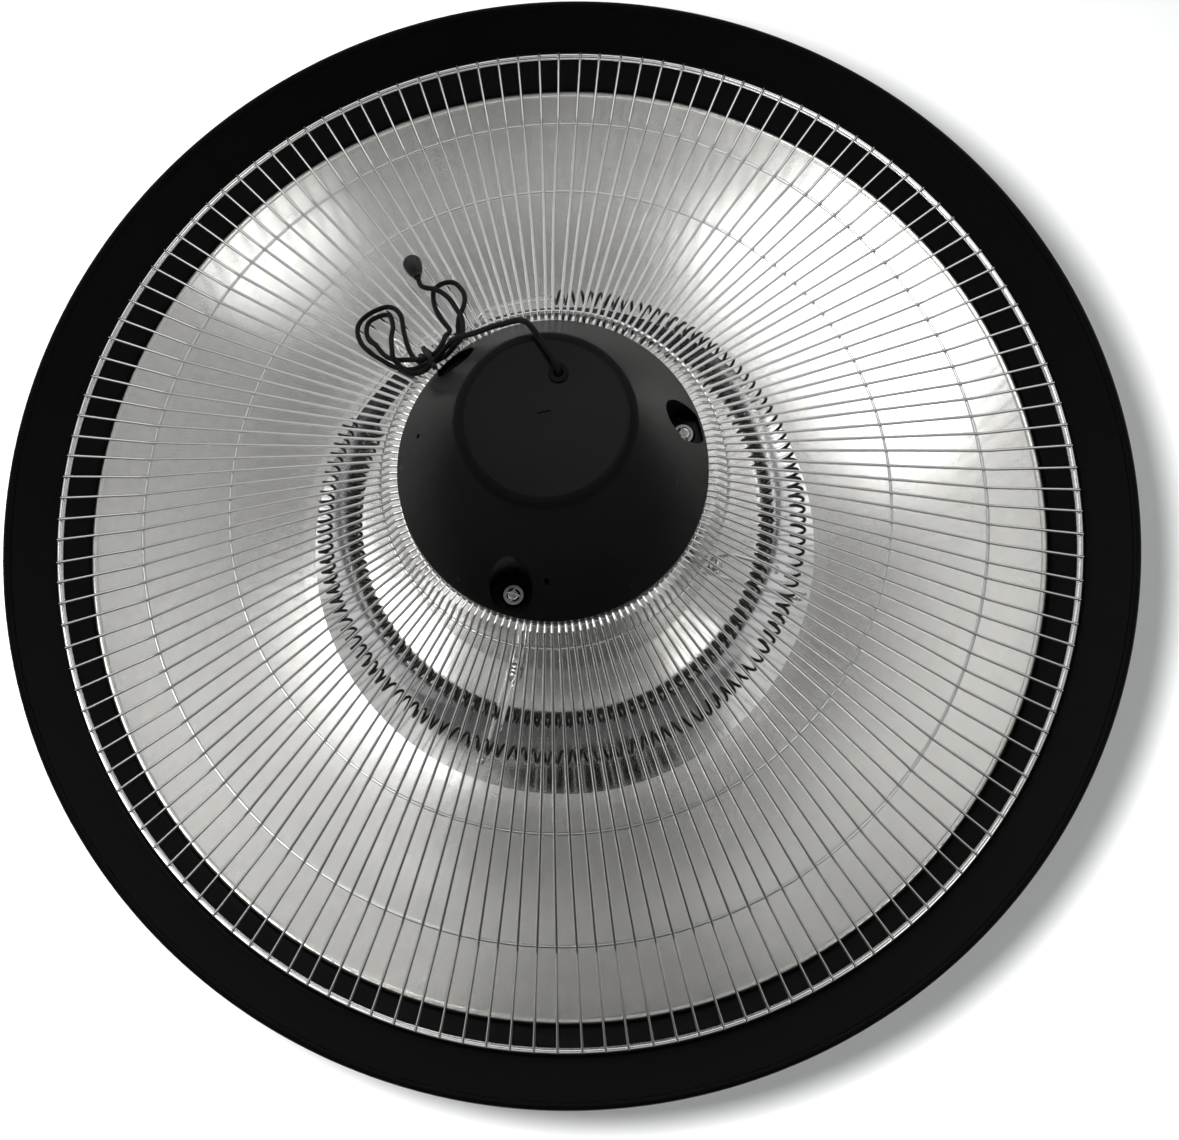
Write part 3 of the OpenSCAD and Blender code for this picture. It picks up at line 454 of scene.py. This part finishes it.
# Cord, tie and knob
CORD_D = 1.8
CORD_ROUTE = [
    [5, 13, 90],
    [5, 13, 104], [5, 13, 108.3], [4, 16, 109.8], [1, 22, 109.5], [-3, 29, 108.5], [-11, 34, 97],
    [-20, 38, 83], [-28.2, 42.2, 69.2], [-30.9, 44, 60.6], [-36.1, 40.1, 57.7],
    [-40.5, 38.1, 54.2], [-45.4, 39, 51.6], [-48.8, 42.4, 50.4], [-50.8, 45.3, 50.9],
    [-51.2, 48.7, 49.8], [-52.1, 55.6, 43.6], [-52, 62.5, 38.5], [-53.5, 67.5, 36],
    [-57.5, 68, 34.5], [-61, 66.5, 34], [-62, 63, 35], [-61, 58.5, 37], [-58, 54.5, 41],
    [-54.6, 49.1, 44.1], [-50.7, 46.2, 46.8], [-45.4, 44, 51.1], [-40.1, 42.2, 55.3],
    [-35.6, 43.1, 56.8], [-33, 46.7, 56.3], [-32.4, 50.4, 52.5], [-31.2, 54.7, 47.3],
    [-33.6, 59.6, 44.6], [-36, 65.5, 41.5], [-36.9, 70.5, 38.9], [-36.4, 74.9, 37.2],
    [-33.5, 77, 37], [-29.5, 76.5, 38], [-27, 73.5, 39.5], [-25.5, 69, 42], [-26, 64.5, 44],
    [-27.6, 60.6, 45.1], [-28.1, 56.6, 47.2], [-28.2, 51.8, 48.8], [-29.4, 48.4, 52],
    [-32.5, 46.1, 53.6], [-37.6, 44.1, 52.8], [-41, 43.6, 50.2], [-43.4, 45, 48.1],
    [-45.3, 48.3, 45.9], [-46.7, 52.7, 43.7], [-48, 59.1, 40.6], [-49, 66, 38], [-51.5, 70, 35.5],
    [-54.5, 71.5, 34.1], [-60.5, 70, 33.5], [-64.5, 67.5, 32.5], [-65.5, 64, 33.5],
    [-64.1, 58.1, 35.8], [-60.5, 53, 38.6], [-56.1, 48.6, 41.6], [-51.7, 44.7, 44.2],
    [-45.4, 41.4, 48.5], [-40.6, 40.6, 52.8], [-36.1, 41.2, 54.3], [-32, 43.5, 53.7],
    [-28.9, 46, 55], [-26.8, 48.8, 53.9], [-26.2, 52.7, 52.3], [-26.6, 58.1, 49.1],
    [-28.6, 63.1, 46.6], [-31, 68, 44.5], [-35.1, 72.6, 41.7], [-39.6, 75.6, 38.2],
    [-41.5, 78, 35.5], [-42.5, 81.5, 34.5]]
cord_line = resampled(CORD_ROUTE, 0.35)
cord_line[:, 2] = np.minimum(cord_line[:, 2], max(p[2] for p in CORD_ROUTE) - 0.03)
braid = sweep(cord_line, CORD_D / 2, 20, (1, 0, 0), lobes=8, lay=3.4, depth=0.09)
cord = piece("pull_cord_braid", [braid], "pull", mat_cord, "pull_cord")

# Knob: a drop with a short collar where the cord goes in
KNOB_D, KNOB_L = 7.0, 10.0
aim = np.array(CORD_ROUTE[-1], float) - np.array(CORD_ROUTE[-2], float)
aim /= np.linalg.norm(aim)
knob_r, cord_r = KNOB_D / 2, CORD_D / 2
drop = np.vstack([[[0.01, 0.05], [cord_r + 0.25, 0.05], [cord_r + 0.65, 0.25], [cord_r + 0.7, 0.7]],
                  curve([cord_r + 0.75, 0.9], [knob_r * 0.9, KNOB_L * 0.25],
                        [knob_r, KNOB_L - knob_r], 16)[1:],
                  [[knob_r * math.cos(math.radians(a)),
                    KNOB_L - knob_r + knob_r * math.sin(math.radians(a))] for a in range(6, 90, 6)],
                  [[0.01, KNOB_L]]])
side = np.cross(aim, (0.0, 0.0, 1.0))
side /= np.linalg.norm(side)
basis = np.stack([side, np.cross(aim, side), aim], 1)
knob_verts, knob_faces = revolve(drop, 48, closed=False)
knob_verts = knob_verts @ basis.T + np.array(CORD_ROUTE[-1], float)
knob = piece("knob_drop", [(knob_verts, knob_faces)], "pull", mat_knob, "pull_knob",
             sharp=50)

# Tie: three turns of thin wire laid side by side round the strands, with the ends twisted together
TIE_AT, TIE_TURN, TIE_LEAN = np.array([-38.11, 42.51, 54.71]), math.radians(24), math.radians(45.5)
TIE_LONG, TIE_SHORT, TIE_WIRE = 11.5, 6.5, 0.5
across = np.array([math.cos(TIE_TURN), math.sin(TIE_TURN), 0.0])
level = np.array([-math.sin(TIE_TURN), math.cos(TIE_TURN), 0.0])
lift = np.array([0.0, 0.0, 1.0])
tie_x = math.sin(TIE_LEAN) * level - math.cos(TIE_LEAN) * lift
tie_y = math.cos(TIE_LEAN) * level + math.sin(TIE_LEAN) * lift


def tie_point(x, y, off):
    return TIE_AT + x * tie_x + y * tie_y + off * across


def tie_turn(off):
    reach = (TIE_LONG - TIE_SHORT) / 2
    points = []
    for a in np.linspace(0, 2 * math.pi, 61):
        x = math.copysign(reach, math.cos(a)) + TIE_SHORT / 2 * math.cos(a)
        points.append(tie_point(x, TIE_SHORT / 2 * math.sin(a), off))
    return sweep(np.array(points), TIE_WIRE / 2, 10, across, caps=False)


def tie_tail(phase):
    points = []
    for t in np.linspace(0, 1, 40):
        a = phase + 3.2 * math.pi * t
        points.append(tie_point(-5.8 - 2.3 * t, 0.3 * math.cos(a), 0.3 * math.sin(a)))
    return sweep(np.array(points), TIE_WIRE / 2, 10, across)


TIE_PITCH = 0.54
tie_parts = [tie_turn(off) for off in (-TIE_PITCH, 0.0, TIE_PITCH)] + [tie_tail(0), tie_tail(math.pi)]
tie = piece("tie_band", tie_parts,
            "pull", mat_black_plastic, "cord_tie")

# Shade
ROUND = 384
RIM_R, SHADE_DEPTH, SHADE_WALL, BACK_R, BEAD = 212.5, 96.0, 1.2, 62.0, 3.0
GUARD_R, GUARD_SINK, KNEE_R, KNEE_SINK = 195.0, 10.0, 160.0, 0.8
BAR_D, RING_D, CROSS_D, WELD = 1.1, 2.6, 1.2, 0.02
NECK_R, NECK_Z, FOOT_Z = 58.0, 47.2, 52.0
BACK_FLAT_R, EYE_BORE_R = 40.0, 4.2
GAP = 0.2
rim_slope = math.atan((GUARD_SINK - KNEE_SINK) / (GUARD_R - KNEE_R))
ring_z = -GUARD_SINK - (BAR_D + RING_D) / 2 / math.cos(rim_slope) - WELD
SHEET, DISH_R, DISH_SINK, DISH_DEPTH = 0.8, 186.8, 26.0, 56.0
lean = math.atan((GUARD_R - DISH_R) / (ring_z + DISH_SINK))
guard_seat = np.array([GUARD_R + (RING_D / 2 + GAP) / math.cos(lean), ring_z])
dish_seat = np.array([DISH_R + (1.5 * SHEET + GAP) / math.cos(lean), -DISH_SINK])
fall = (SHADE_DEPTH - DISH_SINK) / (ring_z + DISH_SINK)
corner = dish_seat + (dish_seat - guard_seat) * fall
mouth = np.array([RIM_R - BEAD / 2, -BEAD / 2 + SHADE_WALL / 2])
flare_in = np.linspace(0, 1, 8)[:, None]
shade_line = np.vstack([mouth + (guard_seat - mouth) * flare_in,
                        guard_seat + (dish_seat - guard_seat) * flare_in[1:],
                        curve(dish_seat, corner, [BACK_R, -SHADE_DEPTH], 48)[1:],
                        [[BACK_FLAT_R, -SHADE_DEPTH], [EYE_BORE_R, -SHADE_DEPTH]]])
shade = piece("shade_shell", [revolve(sheet_profile(shade_line, -SHADE_WALL), ROUND),
                              torus(RIM_R - BEAD / 2, -BEAD / 2, BEAD, 512, 24)],
              "heater", mat_shade, "shade", sharp=50)

# Reflectors
COLUMN_R, FLARE_W, FLARE_LEN = 50.5, 53.5, 22.0
COLUMN_TOP = FOOT_Z - 3.4
DISH_BEND, DISH_LAP = 34.0, 4.5
flange_z = -DISH_DEPTH + SHEET + GAP
flange_r = COLUMN_R + FLARE_W
dish_line = np.vstack([curve([DISH_R, -DISH_SINK], [DISH_R - DISH_BEND, -DISH_DEPTH + 4],
                             [flange_r + 5, -DISH_DEPTH], 64),
                       [[flange_r - DISH_LAP, -DISH_DEPTH]]])
dish = piece("dish_shell", [revolve(sheet_profile(dish_line, -SHEET), ROUND),
                            torus(DISH_R, -DISH_SINK, 3 * SHEET, 512, 20)],
             "heater", mat_dish, "outer_reflector", sharp=50)


def flare_r(z):
    """Radius of the column's flare at a height, and below it the height at a radius."""
    return COLUMN_R + FLARE_W * math.exp(-(z - flange_z) / FLARE_LEN)


def flare_z(r):
    return flange_z - FLARE_LEN * math.log((r - COLUMN_R) / FLARE_W)


zs = np.linspace(COLUMN_TOP - 3, flange_z, 70)
column_line = np.vstack([[[COLUMN_R + 1.8, COLUMN_TOP], [COLUMN_R + 1.3, COLUMN_TOP - 0.2],
                          [COLUMN_R + 0.9, COLUMN_TOP - 0.6], [COLUMN_R + 0.6, COLUMN_TOP - 1.6]],
                         [[flare_r(z), z] for z in zs]])
column = piece("column_shell", [revolve(sheet_profile(column_line, SHEET), ROUND)],
               "heater", mat_column, "inner_reflector", sharp=50)

# Tubes
RINGS = {"outer": (91.5, -16.5), "inner": (78.2, -8.0)}
END_ANGLE, END_PITCH, END_BEND = 111.0, 16.0, 8.0
TUBE_D, TUBE_BORE, TUBE_SIDES = 10.0, 7.6, 40
SOCKET_PROUD, LEG = 12.0, 12.0
COIL_FROM, COIL_TO = 148.0, 447.0


def arc_end(r):
    return math.degrees(math.asin(END_PITCH / 2 / math.hypot(r, END_BEND)) + math.atan(END_BEND / r))


def ring_line(r, z, foot):
    """Centreline of a ring whose ends turn back and down to a foot."""
    first, last = END_ANGLE + arc_end(r), END_ANGLE - arc_end(r) + 360

    def end(angle, s):
        c, q = math.cos(math.radians(angle)), math.sin(math.radians(angle))
        out = []
        for b in np.linspace(0, 90, 14):
            u = END_BEND * math.sin(math.radians(b))
            h = z - END_BEND + END_BEND * math.cos(math.radians(b))
            out.append([r * c - s * u * q, r * q + s * u * c, h])
        for h in np.linspace(z - END_BEND, foot, 8)[1:]:
            out.append([r * c - s * END_BEND * q, r * q + s * END_BEND * c, h])
        return out

    arc = np.linspace(first, last, max(12, int(abs(last - first) / 1.5)))[1:-1]
    return np.array(end(first, -1)[::-1]
                    + [[r * math.cos(math.radians(a)), r * math.sin(math.radians(a)), z] for a in arc]
                    + end(last, 1))


for key, (r, z) in RINGS.items():
    line = ring_line(r, z, flare_z(math.hypot(r, END_BEND)) + SOCKET_PROUD - LEG + GAP)
    outside, out_faces = sweep(line, TUBE_D / 2, TUBE_SIDES, (0, 0, 1), caps=False)
    inside, in_faces = sweep(line, TUBE_BORE / 2, TUBE_SIDES, (0, 0, 1), caps=False)
    base = len(outside)
    end_ring = (len(line) - 1) * TUBE_SIDES
    faces = out_faces + [tuple(i + base for i in f[::-1]) for f in in_faces]
    for k in range(TUBE_SIDES):
        m = (k + 1) % TUBE_SIDES
        faces.append((m, k, base + k, base + m))
        faces.append((end_ring + k, end_ring + m, base + end_ring + m, base + end_ring + k))
    piece(f"{key}_quartz", [(np.vstack([outside, inside]), faces)], "heater", mat_quartz,
          f"{key}_tube", sharp=50)

# Coils: uneven in pitch and a little slack, as wound wire is after use
COIL_D, COIL_WIRE, TURN_STEPS, UNEVEN = 6.4, 1.25, 18, 0.0042
for key, turns in (("outer", 122), ("inner", 104)):
    r, z = RINGS[key]
    n = turns * TURN_STEPS
    s = np.linspace(0, 1, n + 1)
    wobble = np.zeros(n + 1)
    for k in range(2, 26):
        wobble += rng.normal() / k * np.sin(math.pi * k * s)
    angle = np.radians(COIL_FROM + (COIL_TO - COIL_FROM) * (s + UNEVEN * wobble * np.sin(math.pi * s)))
    phase = 2 * math.pi * turns * s
    grow = np.minimum(1, np.minimum(np.arange(n + 1), n - np.arange(n + 1)) / (TURN_STEPS * 0.5))
    rad = (COIL_D - COIL_WIRE) / 2 * grow
    sag = -0.25 + 0.12 * np.sin(9 * s * math.pi)
    out = r + rad * np.cos(phase)
    coil_line = np.stack([out * np.cos(angle), out * np.sin(angle),
                          z + rad * np.sin(phase) + sag * grow], -1)
    piece(f"{key}_coil_wire", [sweep(coil_line, COIL_WIRE / 2, 8, (0, 0, 1))], "heater",
          mat_coil, f"{key}_coil")

# Guard
BARS, BAR_BEND, BAR_TIP_R = 144, 1.8, 50.3
BAR_FOOT_Z = FOOT_Z - 0.85
ASTRAY_DEG, BOW = 0.07, 0.22
flat = bend_line([[GUARD_R + 0.2, -GUARD_SINK], [KNEE_R, -KNEE_SINK], [NECK_R, NECK_Z],
                  [NECK_R - 3.4, BAR_FOOT_Z], [BAR_TIP_R, BAR_FOOT_Z]], BAR_BEND)
path = np.insert(flat, 1, 0.0, axis=1)
bar_line = [path[0]]
for a, b in zip(path[:-1], path[1:]):
    steps = 1 if np.linalg.norm(b - a) < 6 else 7
    bar_line += [a + (b - a) * q / steps for q in range(1, steps + 1)]
bar_line = np.array(bar_line)
along = np.clip((bar_line[:, 0] - NECK_R) / (KNEE_R - NECK_R), 0, 1)
bar_parts = []
for i in range(BARS):
    astray, bow = rng.normal(0, ASTRAY_DEG), rng.normal(0, BOW)
    bar_line[:, 1] = bow * np.sin(math.pi * along)
    v, f = sweep(bar_line, BAR_D / 2, 10, (0, 1, 0))
    bar_parts.append((turned(v, 360 * i / BARS + astray), f))
bars = piece("guard_bar_wires", bar_parts, "heater", mat_wire, "guard_bars", sharp=60)

cone_slope = math.atan((NECK_Z + KNEE_SINK) / (KNEE_R - NECK_R))
cross_off = (BAR_D + CROSS_D) / 2 + WELD
CROSS_MID_R = 119.5


def bar_z(r):
    """Height of the bars on the guard's cone."""
    return NECK_Z + (-KNEE_SINK - NECK_Z) * (r - NECK_R) / (KNEE_R - NECK_R)


cross = [torus(r - cross_off * math.sin(cone_slope), bar_z(r) - cross_off * math.cos(cone_slope),
               CROSS_D, 512, 14) for r in (KNEE_R - 1.5, CROSS_MID_R, NECK_R + 1.5)]
cross_rings = piece("cross_ring_wires", cross, "heater", mat_wire, "guard_cross_rings")
outer_wire = piece("guard_ring_wire", [torus(GUARD_R, ring_z, RING_D, 640, 20)], "heater",
                   mat_ring, "guard_ring")

# CAD solids that stay in sight, with materials
for node, material in {
        "hanging_eye": mat_chrome, "eye_washer": mat_zinc, "eye_nut": mat_zinc, "top_cap": mat_shade,
        "cable_gland": mat_black_plastic, "gland_dome": mat_black_plastic,
        "gland_nut": mat_black_plastic,
        "terminal_block": mat_ivory, "terminal_screws": mat_brass, "support_posts": mat_zinc,
        "post_screws": mat_zinc, "element_leads": mat_lead, "end_sockets": mat_ceramic,
        "tube_clips": mat_chrome, "clip_screws": mat_chrome, "hub_plate": mat_zinc, "hub_cover": mat_hub,
        "cup_washers": mat_chrome, "hub_screws": mat_chrome, "switch_housing": mat_ivory,
        "switch_screws": mat_zinc, "switch_plunger": mat_ivory, "cord_bush": mat_cord}.items():
    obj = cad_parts[node]
    obj.data.materials.clear()
    obj.data.materials.append(material)


# Studio
def stage_plane(name, z, half, material):
    """Square sheet of the stage at a height in metres."""
    verts = [(-half, -half, z), (-half, half, z), (half, half, z), (half, -half, z)]
    obj = add_mesh(name, verts, [(0, 1, 2, 3)], smooth=False)
    obj.data.materials.append(material)
    return obj


def floor_with_painted_reflections():
    """Pale floor. Seen by mirror rays only, it glows in a pattern that paints reflections into the
    metal: bright towards one end, a dark patch opposite, a dark patch in the middle and a brighter patch
    at one corner."""
    m = Nodes("pale_floor")
    board = m.node("BsdfDiffuse")
    m.link(m.ramp(m.noise(3.0, 3), [(0.3, (0.78, 0.78, 0.77)), (0.7, (0.82, 0.82, 0.81))]),
           board.inputs["Color"])
    glow = m.node("Emission")
    place = m.node("SeparateXYZ")
    m.link(m.coords(), place.inputs[0])
    # Painted reflection: glow for mirror rays, bright at one end of the floor and falling to near black
    # at the other.
    m.link(m.ramp(m.span(place.outputs[1], 0.0, 1.0, -3.0, 3.0),
                  [(0.0, (1.6, 1.6, 1.6)), (0.2, (1.15, 1.15, 1.145)), (0.36, (0.82, 0.82, 0.81)),
                   (0.47, (0.44, 0.44, 0.435)), (0.62, (0.47, 0.47, 0.465)),
                   (0.79, (0.58, 0.58, 0.57)), (0.89, (0.08, 0.08, 0.08))]),
           glow.inputs["Color"])

    def away(x, y, wide, deep):
        """Distance from a place on the floor, as a share of a width and a depth."""
        return m.far(m.math("DIVIDE", m.math("SUBTRACT", place.outputs[0], x), wide),
                     m.math("DIVIDE", m.math("SUBTRACT", place.outputs[1], y), deep))

    # Painted reflection: two dark patches and one bright patch in the glow.
    dark_reflection_patch = m.span(away(0.2, 2.5, 1.2, 1.05), 0.04, 1.0, 0.75, 1.6)
    middle_dark_reflection_patch = m.span(away(-0.02, -0.65, 0.5, 0.9), 0.1, 1.0, 0.35, 1.0)
    bright_reflection_patch = m.span(away(-1.6, 2.1, 1.1, 1.0), 1.45, 1.0, 0.3, 1.0)
    m.link(m.math("MULTIPLY", m.math("MULTIPLY", dark_reflection_patch, middle_dark_reflection_patch), bright_reflection_patch), glow.inputs["Strength"])
    return m.surface(m.mix(m.ray("Glossy"), board, glow))


def backdrop_material():
    """White board behind the heater: it takes the shadow, and is clear when seen from above."""
    m = Nodes("pale_backdrop")
    board = m.plain("BsdfDiffuse", (0.80, 0.80, 0.80))
    glow = m.plain("Emission", strength=0.06)
    both = m.node("AddShader")
    m.link(board.outputs[0], both.inputs[0])
    m.link(glow.outputs[0], both.inputs[1])
    front = m.mix(m.ray("Camera"), board, both)
    behind = m.node("NewGeometry").outputs["Backfacing"]
    return m.surface(m.mix(behind, front, m.node("BsdfTransparent")))


board = stage_plane("backdrop_board", 0.008, 1.6, backdrop_material())
floor = stage_plane("pale_floor", -2.2, 4.0, floor_with_painted_reflections())
floor.data.flip_normals()


def area_light(name, face_at, face_to, size, power, only, along=(1, 0, 0), stops=None):
    """Soft oval lamp, long along a direction. only lists the objects that alone take its light, and
    stops those that alone stand in its way."""
    data = bpy.data.lights.new(name, "AREA")
    data.shape = "ELLIPSE"
    data.size, data.size_y = size
    data.energy = power
    obj = bpy.data.objects.new(name, data)
    bpy.context.collection.objects.link(obj)
    at, to = Vector(row(face_at)), Vector(row(face_to))
    back = (at - to).normalized()
    wide = Vector((along[0], -along[1], -along[2]))
    wide = (wide - wide.dot(back) * back).normalized()
    turned_to = Matrix((wide, back.cross(wide), back)).transposed()
    obj.matrix_world = Matrix.Translation(at) @ turned_to.to_4x4()
    for role, listed in (("receiver", only), ("blocker", stops)):
        if listed:
            group = bpy.data.collections.new(name + "_" + role)
            for target in listed:
                group.objects.link(target)
            setattr(obj.light_linking, role + "_collection", group)


bright = [dish, column, bars, cross_rings, outer_wire]
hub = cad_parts["hub_cover"]
back = [shade] + [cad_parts[n]
                  for n in ("top_cap", "hanging_eye", "eye_washer", "cable_gland", "gland_dome")]
area_light("window_lamp", (-870, -95, 1740), (0, 0, 0), (1.66, 0.78), 18.5, bright,
           along=(-1000, -580, -460))
area_light("side_lamp", (930, -650, 1900), (0, 0, 0), (0.80, 0.5), 3.0, bright,
           along=(1000, -300, -460))
area_light("hub_lamp", (60, 220, 700), (0, 0, 107), (0.30, 0.22), 1.2, [hub])
area_light("top_lamp", (-700, -500, -1400), (0, 0, 0), (1.1, 0.8), 26.0, back)
area_light("flange_lamp", (407, 407, 121), (75, 75, -50), (0.60, 0.15), 0.18, [column],
           along=(1, -1, 0), stops=[hub])
area_light("shadow_lamp", (-40, -80, 430), (-40, -80, 0), (0.07, 0.07), 8.0, [board])

sky = Nodes("studio", world=True)
way = sky.node("SeparateXYZ")
sky.link(sky.node("TexCoord").outputs["Generated"], way.inputs[0])
room = sky.plain("Background", strength=0.54)
sky.link(sky.ramp(sky.span(way.outputs[1], 0.0, 1.0, -1.0, 1.0),
                  [(0.15, (1.35, 1.39, 1.42)), (0.64, (0.92, 0.93, 0.94)), (0.85, (0.14, 0.14, 0.14))]),
         room.inputs["Color"])
scene.world = sky.surface(sky.mix(sky.ray("Camera"), room, sky.plain("Background", (0.9, 0.9, 0.9))))
